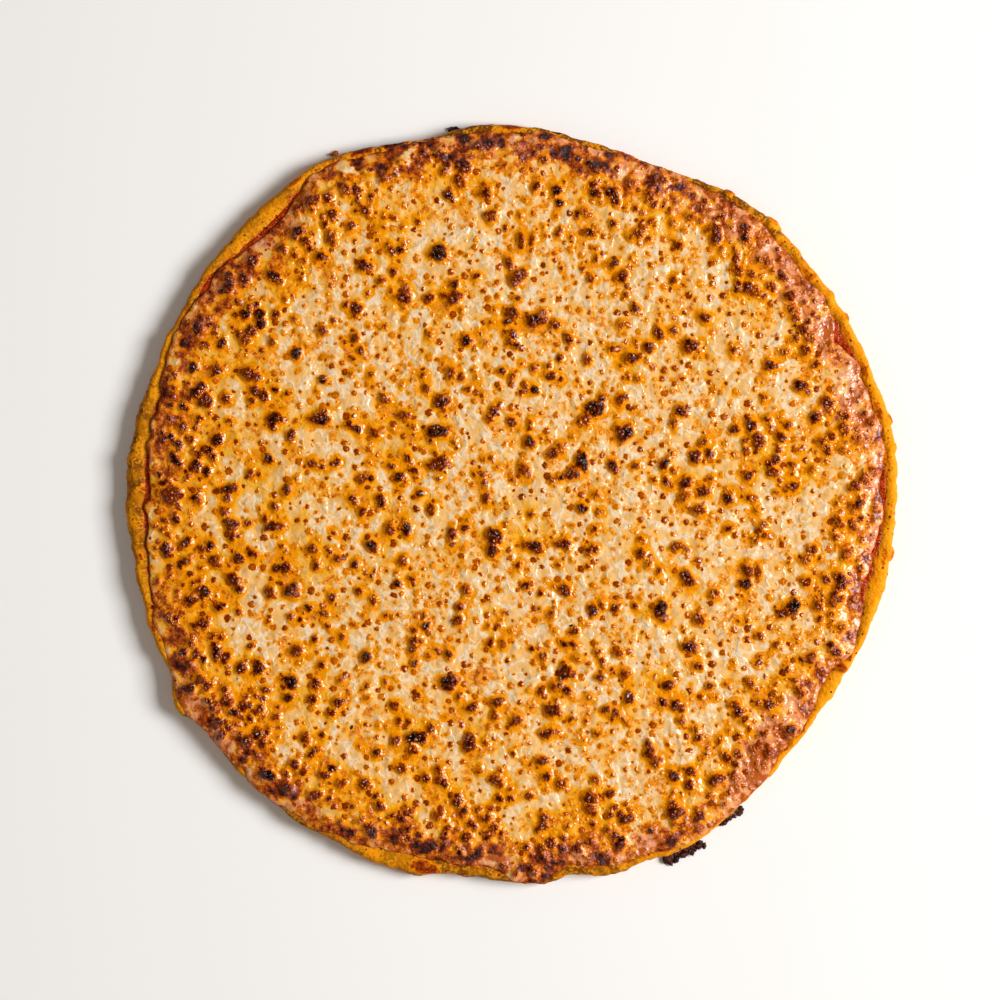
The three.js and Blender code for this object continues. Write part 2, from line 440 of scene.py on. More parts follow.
crust = {
    "steps": 1440,
    "side": [[3, 0], [1.4, 0.25], [0.5, 1.1], [0.05, 2.4], [0, 3.6], [0.1, 5], [0.25, 6.2]],
    "ringSpacing": 0.55, "crestShare": 0.85, "lipRise": 0.55, "lipStep": 0.5,
    "underRings": [120, 60, 15],  # radii of the rings that carry the underside
    "wellRing": 110,
    "pebbles": [[6, 0.42], [2.6, 0.3], [1.1, 0.08]],  # size and height
    # knobs on the rim: angle, radius from the middle, height, size, rise, toast
    "knobs": [
        [54.9, 151.0, 6.5, 2.6, 1.2, 0.6], [46.9, 153.2, 5.5, 4.2, 1.6, 0.35],
        [37, 150.2, 7, 2.6, 0.9, 0.45], [33.3, 151.2, 6.5, 2.4, 0.9, 0.4],
        [29.2, 152.0, 6.5, 2.4, 1.0, 0.5], [12.7, 153.8, 6, 2.6, 1.2, 0.6],
        [8.6, 153.0, 7, 2.6, 0.8, 0.2], [352.5, 152.4, 6, 3.2, 1.3, 0.5],
        [173.3, 152.6, 6, 3.2, 1.2, 0.2], [211.5, 154.6, 5, 4.4, 1.3, 0.0],
        [333.6, 146.6, 7.5, 3.0, 1.2, 0.62],
    ],
    # toasted patches: angle, radius, length, width, toast
    "patches": [
        [256.4, 149.4, 6.5, 3.2, 0.75], [108, 151.5, 8, 2.4, 0.95], [113, 153.5, 7, 3, 0.8],
        [103, 150.5, 5, 1.8, 0.8], [38, 149.4, 5, 1.5, 0.5], [27, 149.8, 4, 1.6, 0.45],
        [21, 150.4, 5, 1.7, 0.55], [14, 151, 5, 1.9, 0.55], [7, 150.8, 4, 1.5, 0.5],
        [352, 149.8, 5, 1.4, 0.45], [336, 147.6, 6, 1.7, 0.5],
        [83, 149.6, 2.5, 1.6, 1.0], [177.6, 147.4, 2.2, 1.6, 0.6], [198.8, 151, 3.2, 2, 0.62],
        [196, 149.5, 1.2, 1, 1.0], [188, 149.6, 3, 0.7, 0.9], [181, 150.2, 1.2, 0.5, 1.0],
        [183.5, 150.8, 1.0, 0.5, 0.95], [124, 155, 4, 1.4, 0.6], [64, 149, 6, 1.6, 0.6],
        [90, 150.6, 6, 1.8, 0.7], [72, 147.4, 7, 1.5, 0.65],
    ],
    "plainColour": (0.82, 0.25, 0.001), "paleColour": (0.88, 0.325, 0.002), "deepColour": (0.66, 0.2, 0.0),
    "paintedShadeColour": (0.43, 0.145, 0.0), "sauceColour": (0.42, 0.07, 0.004),
    "bakedAndShadedColour": (0.17, 0.045, 0.001),
    # painted shade on the sides turned away from the light; and the sides that have baked darker, partly
    # painted shade as well: angle, half-width, amount
    "shadySides": [[170, 105, 0.8], [265, 60, 0.8], [85, 40, 0.6]],
    "bakedAndShadedSides": [[80, 62, 1.5], [150, 45, 0.3], [180, 25, 0.5], [230, 35, 0.5], [272, 32, 0.7]],
    "coveredSides": [[220, 30, 1], [66, 12, 0.8], [300, 14, 0.7]],  # where no sauce shows at the lip
    "shader": {"Specular IOR Level": 0.06},
}


def crustMaterial():
    material, tree, shader = newMaterial("bakedCrust", crust["shader"])
    place = millimetrePlace(tree)
    rough = placeGroup(tree, grain, {"Place": place, "Fine": 1.0, "Coarse": 3.2})
    specks = placeGroup(tree, spots, {"Place": place, "Cell": 2.6, "Least": 0.2, "Most": 0.7, "Share": 0.3})
    blots = placeGroup(tree, spots, {"Place": place, "Cell": 4.5, "Least": 0.3, "Most": 1.1, "Share": 0.35})
    tone = remap(tree, rough["Coarse"], -0.16, 0.16)
    plain = mixColour(tree, tone, crust["plainColour"], crust["paleColour"])
    deep = remap(tree, rough["Fine"], 0.05, -0.2, 0, 0.4)
    plain = mixColour(tree, deep, plain, crust["deepColour"])
    # painted shade: the sides turned away from the light are mixed towards a darker olive
    shady = addShare(tree, rough["Coarse"], 0.9, layerValue(tree, "shady"))
    plain = mixColour(tree, shady, plain, crust["paintedShadeColour"])
    # the sides that have baked darker, partly painted shade where they curve away from the light
    bakedAndShaded = addShare(tree, rough["Coarse"], 1.2, layerValue(tree, "bakedAndShaded"))
    plain = mixColour(tree, remap(tree, bakedAndShaded, 0.1, 0.9), plain, crust["bakedAndShadedColour"])
    sauced = addShare(tree, rough["Coarse"], 1.6, layerValue(tree, "sauced"))
    plain = mixColour(tree, remap(tree, sauced, 0.4, 0.9), plain, crust["sauceColour"])
    speck = remap(tree, specks["Spot"], 0.0, 0.2, 0, 0.75)
    blot = remap(tree, blots["Spot"], 0.0, 0.5, 0, 0.42)
    ragged = addShare(tree, rough["Fine"], 0.5, layerValue(tree, "toast"))
    ragged = addShare(tree, rough["Coarse"], 0.3, ragged)
    toast = calc(tree, "MAXIMUM", ragged, calc(tree, "MAXIMUM", speck, blot))
    plug(tree, shader.inputs["Base Color"], placeGroup(tree, browning, {"Plain": plain, "Toast": toast})[0])
    plug(tree, shader.inputs["Roughness"], remap(tree, rough["Fine"], -0.3, 0.3, 0.45, 0.72))
    relief = addShare(tree, rough["Coarse"], 0.5, calc(tree, "MULTIPLY", rough["Fine"], 0.3))
    raiseSurface(tree, shader, relief, 0.001)
    return material


def crustSection(angle):  # rings from the underside out, over the rim and into the well
    edge = outlineAt(angle)
    rim = rimAt(angle)
    rise = crust["crestShare"] * plan["crestRise"]
    crest = plan["lipHeight"] + rise * np.minimum(1, rim / plan["fullRim"])
    lip = np.minimum(plan["lipHeight"] + crust["lipRise"], crest)
    corners = [[radius, np.zeros_like(angle)] for radius in crust["underRings"][::-1]]
    corners += [[edge - 8, np.zeros_like(angle)]]
    corners += [[edge - inset, np.full_like(angle, height)] for inset, height in crust["side"]]
    middle = plan["crestInset"] + plan["crestShare"] * rim
    corners += [[edge - middle * 0.45, crest - 0.45], [edge - middle, crest],
                [edge - (middle + rim) / 2, (crest + lip) / 2 + 0.1], [edge - rim, lip],
                [edge - rim - crust["lipStep"], np.full_like(angle, plan["lipHeight"])],
                [edge - rim - plan["slopeWidth"], np.full_like(angle, plan["wellHeight"])],
                [np.full_like(angle, crust["wellRing"]), np.full_like(angle, plan["wellHeight"])]]
    return corners


def crustRings():  # how many steps lead from each corner of the section to the next
    atAngle = np.array([150.0])
    corners = [[float(np.ravel(radius)[0]), float(height[0])] for radius, height in crustSection(atAngle)]
    counts = []
    for (r1, h1), (r2, h2) in zip(corners, corners[1:]):
        length = math.hypot(r2 - r1, h2 - h1)
        counts.append(max(1, round(length / crust["ringSpacing"])) if length < 12 else 1)
    return counts


def makeCrust():
    counts = crustRings()
    mesh, angle, ring = stackedRings("crust", sum(counts) + 1, crust["steps"])
    turns = np.unique(angle.round(4))
    column = np.searchsorted(turns, angle.round(4))
    corners = [[np.broadcast_to(radius, turns.shape), height] for radius, height in crustSection(turns)]
    radii, heights = np.empty((2, sum(counts) + 1, len(turns)))
    at = 0
    for index, count in enumerate(counts):
        nearby = [corners[min(max(index + shift, 0), len(corners) - 1)] for shift in (-1, 0, 1, 2)]
        for step in range(count + 1):
            radii[at + step], heights[at + step] = easedPoint(*nearby, step / count, count > 1)
        at += count
    setPoints(mesh, onRing(angle, radii[ring, column], heights[ring, column]))
    pointOutwards(mesh)
    roughenCrust(mesh)
    finishPiece("crust", mesh, crustMaterial(), ["dough"])


def easedPoint(before, start, end, after, share, curved):  # a Catmull-Rom curve between two corners
    if not curved:
        return [a + (b - a) * share for a, b in zip(start, end)]
    point = []
    for p, a, b, q in zip(before, start, end, after):
        bend = (b - p) / 2 * (share - 2 * share ** 2 + share ** 3)
        bend += (q - a) / 2 * (share ** 3 - share ** 2)
        along = 3 * share ** 2 - 2 * share ** 3
        point.append(a * (1 - along) + b * along + bend)
    return point


def roughenCrust(mesh):
    points = meshArray(mesh, "co")
    normals = meshArray(mesh, "normal")
    angle, radius = polar(points)
    inset = outlineAt(angle) - radius
    loose = smoothStep(points[:, 2], 0.1, 1.6) * smoothStep(inset, 14, 9)  # flat below and in the well
    push = np.zeros(len(points))
    for salt, (size, height) in enumerate(crust["pebbles"]):
        push += height * fieldNoise(points, size, salt + 1, 2)
    toast = 0.30 * smoothStep(points[:, 2], 1.8, 0.2) * (1 + fieldNoise(points, 9, 5))
    toast += 0.16 * smoothStep(fieldNoise(points, 14, 8, 2), 0.05, 0.5)
    for turn, reach, height, size, rise, brown in crust["knobs"]:
        centre = onRing(np.array([turn]), np.array([reach]), np.array([height]))[0]
        share = np.linalg.norm(points - centre, axis=1) / size
        dome = np.sqrt(np.clip(1 - share ** 2, 0, 1))
        push += rise * dome
        toast = np.maximum(toast, brown * smoothStep(share, 1.15, 0.5))
    points += normals * (push * loose)[:, None]
    for turn, reach, length, width, brown in crust["patches"]:
        along = np.radians((angle - turn + 540) % 360 - 180) * reach / length
        across = (radius - reach) / width
        away = np.hypot(along, across) + 0.35 * fieldNoise(points, 1.6, turn)
        toast = np.maximum(toast, brown * smoothStep(away, 1.15, 0.45) * (points[:, 2] > 0.5))
    setPoints(mesh, points)
    addLayer(mesh, "toast", toast)
    # painted shade on the sides turned away from the light
    addLayer(mesh, "shady", bulges(angle, crust["shadySides"]))
    # sides baked darker, partly painted shade
    addLayer(mesh, "bakedAndShaded", bulges(angle, crust["bakedAndShadedSides"]) * (0.9 + fieldNoise(points, 5, 11, 2)))
    lip = smoothStep(inset, rimAt(angle) - 2.5, rimAt(angle) + 0.3)
    lip = lip * (1 - bulges(angle, crust["coveredSides"]))
    addLayer(mesh, "sauced", lip * (0.75 + 1.1 * fieldNoise(points, 6, 7, 2)))


makeCrust()


# ---- tomato sauce

sauce = {
    "steps": 1440,
    "insetRings": [0.0, 0.12, 0.5, 1.1, 1.8, 2.6, 3.5, 4.5, 5.6, 7.0],
    "lumps": [[2.6, 0.35], [1.2, 0.18]],
    "innerRing": 60,
    "colour": (0.42, 0.032, 0.001), "deepColour": (0.18, 0.011, 0.0005),
    "brightColour": (0.58, 0.08, 0.003),
    "shader": {"Specular IOR Level": 0.3},
}


def sauceMaterial():
    material, tree, shader = newMaterial("tomatoSauce", sauce["shader"])
    place = millimetrePlace(tree)
    rough = placeGroup(tree, grain, {"Place": place, "Fine": 0.7, "Coarse": 3})
    colour = mixColour(tree, remap(tree, rough["Coarse"], -0.15, 0.1), sauce["deepColour"],
                       sauce["colour"])
    colour = mixColour(tree, remap(tree, rough["Fine"], 0.05, 0.25), colour, sauce["brightColour"])
    plug(tree, shader.inputs["Base Color"], colour)
    plug(tree, shader.inputs["Roughness"], remap(tree, rough["Coarse"], -0.2, 0.2, 0.12, 0.3))
    relief = addShare(tree, rough["Coarse"], 0.6, calc(tree, "MULTIPLY", rough["Fine"], 0.3))
    raiseSurface(tree, shader, relief, 0.001)
    return material


def makeSauce():
    rings = len(sauce["insetRings"])
    mesh, angle, ring = stackedRings("tomatoSauce", rings + 4, sauce["steps"])
    edge, rim = outlineAt(angle), rimAt(angle)
    bare = bulges(angle, plan["sauceStrips"])
    outer = rim + np.maximum(0.1, plan["sauceSetback"] - 1.5 * bare)
    # rings run from the middle of the underside out to the edge and back over the top
    topRing = np.clip(ring - 2, 0, rings - 1)
    inset = outer + np.array(sauce["insetRings"])[topRing]
    height = sauceTop(inset, rim) - 0.25 * (topRing == 0)
    under = ring == 1
    inset = np.where(under, outer + 0.1, inset)
    height = np.where(under, doughTop(inset, rim) + 0.05, height)
    radius = edge - inset
    middle = (ring == 0) | (ring >= rings + 2)
    radius = np.where(middle, np.where(ring == rings + 2, 110.0, sauce["innerRing"]), radius)
    level = plan["wellHeight"] + plan["gap"]
    height = np.where(middle, np.where(ring == 0, level, level + plan["sauceThickness"]), height)
    points = onRing(angle, radius, height)
    lump = sum(rise * fieldNoise(points, size, 3 + size, 2) for size, rise in sauce["lumps"])
    points[:, 2] += np.where((ring >= 2) & ~middle, lump, 0)
    setPoints(mesh, points)
    pointOutwards(mesh)
    finishPiece("tomatoSauce", mesh, sauceMaterial(), ["tomato_sauce"])


makeSauce()


# ---- melted cheese

cheese = {
    "gridSide": 298,
    # rows round the edge, below the top: how far in from the edge, and share of its thickness there
    "edgeTop": 0.45,
    "edgeRows": [[0.12, 0.8], [-0.1, 0.5], [0.05, 0.2], [0.5, 0.0]],
    # strips of pale cheese, and spots of bare sauce: x, y, half-length, half-width, turn
    "paleStrips": [[-44, 137, 8.5, 1.5, 45], [-63.5, 133, 7, 1.4, -8], [-57, 128, 5, 1.2, 20]],
    "sauceSpots": [[105.2, 67.5, 1.6, 0.9, 60], [124, 38, 2.2, 1.2, 110], [-7, -141, 5, 1.6, 0],
                   [129, 34, 1.8, 1, 80]],
    "goldenPatches": [[-119, 26, 13, 0.6]],  # x, y, size, amount
    # the sheet thins out towards its edge; and where the edge is thicker: angle, half-width, amount
    "taper": 9, "thinEdge": 0.5,
    "thickEdges": [[168, 45, 0.9], [263, 8, 0.8], [282, 8, 0.8], [15, 60, 0.6]],
    "undulation": [[26, 0.4], [9, 0.36], [3.8, 0.32]],
    "creases": [[13, 0.35], [6, 0.32]],
    # small browned spots: cell, least and most radius, share of cells, least and most toast
    "spots": [[4.7, 0.7, 1.7, 0.78, 0.32, 0.82], [2.9, 0.35, 0.9, 0.24, 0.2, 0.55]],
    # the blisters that stand out most: x, y, radius, how narrow, turn of the long axis, toast
    "largeBlisters": [
        [-30, 29, 4.6, 0.7, 15, 0.97], [-29, 100, 4.2, 0.85, 0, 1.0], [9, 73, 4.3, 0.8, 160, 0.86],
        [0, 76, 3.6, 0.9, 0, 0.84], [18, 125, 2.8, 0.8, 80, 1.0], [19, 120, 2.6, 0.8, 100, 0.93],
        [33, 38, 4.3, 0.97, 0, 0.98], [45, 28, 4, 0.9, 40, 0.93], [28, 17, 4.2, 0.75, 100, 1.0],
        [24, 12, 3.4, 0.9, 0, 0.85], [-7, -13, 4.6, 0.75, 110, 0.86], [9, -17, 4, 0.75, 150, 0.9],
        [-42, -10, 3.2, 0.85, 90, 0.98], [-24, -12, 3.4, 0.65, 100, 0.9], [-29, 16, 4.6, 0.8, 25, 0.8],
        [-28, 41, 3.8, 0.95, 0, 0.86], [-23, 82, 4, 0.8, 30, 0.86], [-43, 82, 3.6, 0.85, 0, 0.84],
        [3, 91, 4, 0.8, 20, 0.8], [-76, 34, 4.1, 0.85, 160, 0.92], [-62, 30, 2.8, 0.75, 120, 1.0],
        [-97, 18, 2.6, 1.0, 0, 1.0], [-113, 6, 3.6, 0.62, 0, 0.96], [-122, 41, 4, 0.8, 140, 0.86],
        [-136, 3, 5, 0.75, 120, 0.76], [-99, 43, 3.4, 0.7, 130, 0.86], [-138, -18, 3.6, 0.7, 100, 0.93],
        [-86, 60, 3, 0.9, 0, 1.0], [-100, 72, 3.4, 0.75, 90, 0.93], [-105, 52, 3.8, 0.85, 0, 0.84],
        [-113, 86, 3.4, 0.85, 60, 0.85], [-88, -34, 3.9, 0.65, 40, 0.94], [-111, -30, 3.4, 0.85, 130, 0.9],
        [-101, -65, 3.7, 0.8, 70, 0.94], [-88, -71, 3.8, 0.8, 100, 1.0], [-89, -77, 2.8, 0.8, 0, 0.97],
        [-69, -79, 2.8, 0.9, 0, 0.92], [-111, -83, 2.6, 0.9, 0, 0.98], [-97, -108, 3.6, 0.8, 170, 1.0],
        [-25, -71, 4.6, 0.75, 10, 0.95], [-39, -93, 3.8, 0.7, 0, 1.0], [-17, -95, 5, 0.6, 80, 0.86],
        [21, -67, 4, 0.75, 80, 0.88], [-6, -79, 3, 0.9, 0, 0.86], [16, -82, 3.8, 0.8, 30, 0.86],
        [31, -117, 3.8, 0.8, 20, 0.86], [13, -125, 2.8, 0.9, 0, 0.84], [82, 106, 3, 0.6, 75, 1.0],
        [71, 63, 3.8, 0.85, 150, 0.88], [77, 74, 2.8, 0.9, 0, 0.8], [115, 47, 3.8, 0.7, 10, 0.93],
        [59, -42, 4.2, 0.75, 95, 0.97], [112, -41, 4, 0.8, 80, 1.0], [131, -30, 3.2, 0.9, 90, 0.93],
        [93, -32, 3.2, 0.95, 0, 0.9], [86, 2, 2.8, 0.95, 0, 0.94], [73, 19, 3.4, 0.85, 20, 0.88],
        [76, 5, 3.2, 0.85, 0, 0.86], [71, -57, 3.8, 0.85, 0, 0.86], [62, -72, 3.2, 0.85, 0, 0.85],
        [65, -123, 4.4, 0.7, 20, 0.82], [129, -59, 3, 0.85, 0, 0.82], [111, -90, 3.2, 0.85, 0, 0.86],
        [103, 55, 3, 0.9, 0, 0.84], [67, 37, 3, 0.85, 60, 0.93], [48, 58, 3.3, 0.85, 0, 0.86],
        [31, 108, 2.8, 0.85, 0, 0.86], [41, 121, 3, 0.85, 0, 0.86], [-18, 65, 2.8, 1.0, 0, 0.98],
        [108, 90, 2.8, 0.85, 0, 0.86], [-62, 78, 3.4, 0.85, 0, 0.86], [-59, 95, 3.4, 0.8, 40, 0.86],
    ],
    # a sunflower spiral, each shaken from its place
    "spiralCount": 100, "spiralRadius": 146, "spiralShake": 9, "spiralLeast": 2.1, "spiralMost": 3.2,
    "spacing": 1.15, "edgeKeep": 3,
    # the rest fall where they may: tries, from what radius, least and most size, least and most toast
    "scattered": [[1050, 0, 1.4, 3.3, 0.62, 0.96], [650, 125, 1.5, 3.3, 0.6, 0.97]],
    "seed": 12,
    "domeRise": 0.5, "domeMostRise": 2.0, "halo": 0.25,
    # how toasted it is near the edge: distance from it, and amount
    "tanRings": [[0, 1.05], [3, 1.0], [5, 0.95], [8, 0.8], [11, 0.55], [16, 0.26], [30, 0.04], [38, 0]],
    # the sides that are paler and darker near the edge, and where the cheese runs over the lip or stays
    # pale at
    # it: angle, half-width, amount
    "paleSides": [[350, 80, 0.35], [125, 18, 0.3]],
    "darkerSides": [[85, 46, 0.6], [150, 25, 0.2], [274, 34, 0.45]], "darkerWidth": 17,
    "overEdges": [[218, 34, 1.4], [300, 14, 0.8], [66, 12, 0.9]],
    "cleanEdges": [[186, 20, 1]],
    # stretches of the edge: angle, half-width, reach inwards, how saucy, how toasted
    "stretches": [
        [4, 9, 10, 1.2, 0.1], [17, 9, 18, 1.3, 0.1], [28, 7, 16, 1.2, 0.1], [40, 13, 18, 1.2, 0.2],
        [52, 9, 17, 1.1, 0.3], [70, 12, 13, 0.8, 0.3], [85, 14, 14, 0.8, 0.5], [97, 9, 13, 0.9, 0.3],
        [112, 9, 7, 0.2, 0.5], [131, 13, 9, 1.1, 0.2], [146, 7, 8, 1.1, 0.3], [156, 9, 8, 0.3, 0.5],
        [164, 6, 6, 0.8, 0.2], [198, 9, 6, 0.5, 0.25], [215, 13, 14, 1.0, 0.2], [234, 13, 14, 0.9, 0.45],
        [250, 12, 13, 0.5, 0.5], [271, 8, 13, 1.0, 0.4], [281, 8, 12, 0.9, 0.3], [291, 9, 15, 1.1, 0.15],
        [302, 8, 7, 0.5, 0.2], [315, 14, 21, 1.35, 0.05], [332, 9, 7, 0.6, 0.2], [350, 14, 7, 0.9, 0.15],
    ],
    "paintedHighlight": -0.1,  # how much paler a small spot is in its middle: a painted highlight on its raised top
    # lumps on the blisters, and pale strands between them
    "lump": 1.8, "lumpRise": 0.7, "strandRise": 0.12,
    "whiteAndHighlightColour": (0.82, 0.63, 0.42), "creamColour": (0.81, 0.465, 0.17),
    "yellowAndShadeColour": (0.82, 0.385, 0.03),
    "pinkColour": (0.74, 0.29, 0.15), "saucyColour": (0.40, 0.07, 0.002),
    "shader": {"Specular IOR Level": 0.5},
}


def cheeseMaterial():
    material, tree, shader = newMaterial("meltedCheese", cheese["shader"])
    place = millimetrePlace(tree)
    rough = placeGroup(tree, grain, {"Place": place, "Fine": 0.7, "Coarse": 2.2})
    slow = calc(tree, "SUBTRACT", noiseValue(tree, place, 8, 1), 0.5)
    shifted = shiftedPlace(tree, place, 1.8, 1.5)
    lumps = addNode(tree, "ShaderNodeTexVoronoi", {"Vector": shifted, "Scale": 1 / cheese["lump"]},
                    voronoi_dimensions="2D").outputs["Distance"]

    # blisters: a ragged golden ring, and a browned middle with creases between its lumps
    depth = addShare(tree, rough["Coarse"], 1.2, layerValue(tree, "blister"))
    depth = addShare(tree, rough["Fine"], 0.5, depth)
    inside = remap(tree, depth, -0.6, 1.7)
    level = addShare(tree, rough["Coarse"], 0.5, layerValue(tree, "level"))
    # painted light: the tops of the lumps are a little lighter and the creases between them a little darker
    level = calc(tree, "ADD", level, remap(tree, lumps, 0.1, 0.6, -0.14, 0.02))
    level = calc(tree, "ADD", level, remap(tree, depth, 0.2, 1.8, -0.1, 0.04))
    ring = addShare(tree, slow, 5, depth)
    toast = calc(tree, "MAXIMUM", calc(tree, "MULTIPLY", inside, level),
                 remap(tree, ring, -2.2, -0.5, 0, cheese["halo"]))
    relief = calc(tree, "MULTIPLY", remap(tree, lumps, 0.05, 0.75, cheese["lumpRise"], 0),
                  remap(tree, depth, 0.2, 2.0))

    for cell, least, most, share, low, high in cheese["spots"]:
        sources = {"Place": shifted, "Cell": cell, "Least": least, "Most": most, "Share": share}
        spot = placeGroup(tree, spots, sources)
        depth = addShare(tree, rough["Fine"], 0.5, spot["Spot"])
        level = remap(tree, spot["Chance"], 0, 1, low, high, smooth=False)
        # painted highlight: the raised middle of each spot is a little paler
        level = addShare(tree, remap(tree, depth, 0.35, 0.9), cheese["paintedHighlight"], level)
        core = calc(tree, "MULTIPLY", remap(tree, depth, -0.2, 0.5), level)
        ring = addShare(tree, slow, 3, depth)
        core = calc(tree, "MAXIMUM", core, remap(tree, ring, -1.0, 0.0, 0, cheese["halo"] * 0.9))
        toast = calc(tree, "MAXIMUM", toast, core)
        relief = addShare(tree, remap(tree, depth, -0.3, most * 0.8), most * 0.22, relief)

    # bare cheese: pale strands (their white partly a painted highlight) over a creamier sheet, yellower
    # where it has begun to colour
    strand = calc(tree, "ABSOLUTE", calc(tree, "SUBTRACT", noiseValue(tree, shifted, 7, 2, 0.6), 0.5))
    glow = addShare(tree, slow, 3, layerValue(tree, "glow"))
    glow = addShare(tree, rough["Coarse"], -1.2, glow)
    # painted highlight, in part: the crests of the strands are whitened
    plain = mixColour(tree, remap(tree, strand, 0.1, 0.0), cheese["creamColour"], cheese["whiteAndHighlightColour"])
    # painted shade: the hollows of the coarse relief are tinted yellower
    plain = mixColour(tree, remap(tree, rough["Coarse"], 0.0, -0.22, 0, 0.6), plain, cheese["yellowAndShadeColour"])
    plain = mixColour(tree, remap(tree, glow, 0.4, 1.6), plain, cheese["yellowAndShadeColour"])
    tan = addShare(tree, slow, 1.0, calc(tree, "MULTIPLY", layerValue(tree, "tan"), 0.5))
    tan = addShare(tree, rough["Fine"], 0.2, calc(tree, "ADD", rough["Coarse"], tan))
    toast = calc(tree, "MAXIMUM", toast, remap(tree, tan, 0.03, 1.03, 0, 1, smooth=False))
    mottle = calc(tree, "MULTIPLY", rough["Fine"], remap(tree, toast, 0.1, 0.4, 0, 0.35))
    toast = calc(tree, "ADD", toast, mottle)
    colour = placeGroup(tree, browning, {"Plain": plain, "Toast": toast})[0]
    saucy = addShare(tree, rough["Coarse"], 1.6, layerValue(tree, "saucy"))
    saucy = addShare(tree, slow, 1.8, saucy)
    pink = calc(tree, "MULTIPLY", remap(tree, saucy, 0.4, 0.95, 0, 0.85), remap(tree, toast, 0.5, 0.2))
    colour = mixColour(tree, pink, colour, cheese["pinkColour"])
    red = calc(tree, "MULTIPLY", remap(tree, saucy, 0.9, 1.6, 0, 0.9), remap(tree, toast, 0.7, 0.35))
    colour = mixColour(tree, red, colour, cheese["saucyColour"])
    plug(tree, shader.inputs["Base Color"], colour)
    sheen = addShare(tree, rough["Coarse"], 0.15, remap(tree, toast, 0.3, 0.8, 0.09, 0.04))
    sheen = addShare(tree, layerValue(tree, "tan"), 0.25, sheen)
    plug(tree, shader.inputs["Roughness"], sheen)

    relief = addShare(tree, rough["Coarse"], 0.36, relief)
    relief = addShare(tree, remap(tree, strand, 0.08, 0.0), cheese["strandRise"], relief)
    wrinkles = remap(tree, layerValue(tree, "blister"), -0.2, 1.0, 0.04, 0.4)
    relief = addShare(tree, rough["Fine"], wrinkles, relief)
    raiseSurface(tree, shader, relief, 0.001)
    return material


def shiftedPlace(tree, place, size, reach):  # pushes a pattern about, so that its spots aren't round
    sources = {"Vector": place, "Scale": 1 / size, "Detail": 2}
    shift = addNode(tree, "ShaderNodeTexNoise", sources).outputs["Color"]
    shift = addNode(tree, "ShaderNodeVectorMath", {0: shift, 1: (0.5, 0.5, 0.5)},
                    operation="SUBTRACT").outputs[0]
    return addNode(tree, "ShaderNodeVectorMath", {0: shift, 1: (reach, reach, 0), 2: place},
                   operation="MULTIPLY_ADD").outputs[0]


def edgeThickness(angle):
    swell = bulges(angle, cheese["thickEdges"]) + 0.3 * ringNoise(angle, 4.9, 70)
    return np.maximum(cheese["thinEdge"] + swell, 0.3)


def cheeseTop(angle, radius, edge, rim, inset):  # height of the sheet without its blisters
    share = np.clip((edge - radius - inset) / cheese["taper"], 0, 1)
    thin = edgeThickness(angle)
    thickness = thin + (plan["cheeseThickness"] - thin) * share ** 0.9
    swell = np.sin(radius / plan["swellLength"] + np.radians(plan["swellLobes"] * angle))
    bed = sauceTop(edge - radius, rim) + plan["gap"]
    return bed + thickness + plan["cheeseSwell"] * share * swell


def shaken(index, salt):  # the same fractions as in the CAD part
    wave = math.sin(index * 12.9898 + salt * 78.233) * 43758.5453
    return wave - math.floor(wave)


def spiralBlisters(found):
    golden = math.pi * (3 - math.sqrt(5))
    spread = cheese["spiralMost"] - cheese["spiralLeast"]
    for index in range(cheese["spiralCount"]):
        reach = cheese["spiralRadius"] * math.sqrt((index + 0.5) / cheese["spiralCount"])
        x = reach * math.cos(index * golden) + cheese["spiralShake"] * (shaken(index, 1) - 0.5)
        y = reach * math.sin(index * golden) + cheese["spiralShake"] * (shaken(index, 2) - 0.5)
        size = cheese["spiralLeast"] + spread * shaken(index, 3) ** 2
        clear = all(math.dist((x, y), row[:2]) > cheese["spacing"] * (size + row[2]) for row in found)
        if clear and insideCheese(x, y, size + cheese["edgeKeep"]):
            turn = math.degrees(math.pi * shaken(index, 6))
            found.append([x, y, size, 0.8 + 0.2 * shaken(index, 5), turn, 0.7 + 0.22 * shaken(index, 7)])


def insideCheese(x, y, margin):
    angle = np.array([math.degrees(math.atan2(y, x)) % 360])
    edge = plan["outlineBase"] + bulges(angle, plan["outlineBulges"])
    inset = plan["rimBase"] + bulges(angle, plan["rimBulges"]) + bulges(angle, plan["sauceStrips"])
    return math.hypot(x, y) < (edge - np.maximum(inset, 1))[0] - margin


def allBlisters():
    random = np.random.default_rng(cheese["seed"])
    found = [list(row) for row in cheese["largeBlisters"]]
    spiralBlisters(found)
    for row in list(found):  # lobes beside the larger ones
        for _ in range(random.integers(0, 3) if row[2] > 3 else 0):
            turn = random.uniform(0, 2 * math.pi)
            reach = row[2] * random.uniform(0.75, 1.15)
            found.append([row[0] + reach * math.cos(turn), row[1] + reach * math.sin(turn),
                          row[2] * random.uniform(0.35, 0.6), 0.85, random.uniform(0, 180),
                          row[5] * random.uniform(0.75, 0.95)])
    for tries, start, least, most, low, high in cheese["scattered"]:
        for _ in range(tries):
            reach = math.sqrt(random.uniform(start ** 2, 150 ** 2))
            turn = random.uniform(0, 2 * math.pi)
            x, y = reach * math.cos(turn), reach * math.sin(turn)
            size = least + (most - least) * random.random() ** 1.5
            crowd = noise.noise((x / 22, y / 22, 4.4)) - 0.22 * x / 150 + random.uniform(-0.35, 0.35)
            narrow, tilt = random.uniform(0.7, 1), random.uniform(0, 180)
            brown = random.uniform(low, high) - 0.1 * x / 150
            if crowd > -0.22 and insideCheese(x, y, size + 0.5):
                found.append([x, y, size, narrow, tilt, brown])
    return found


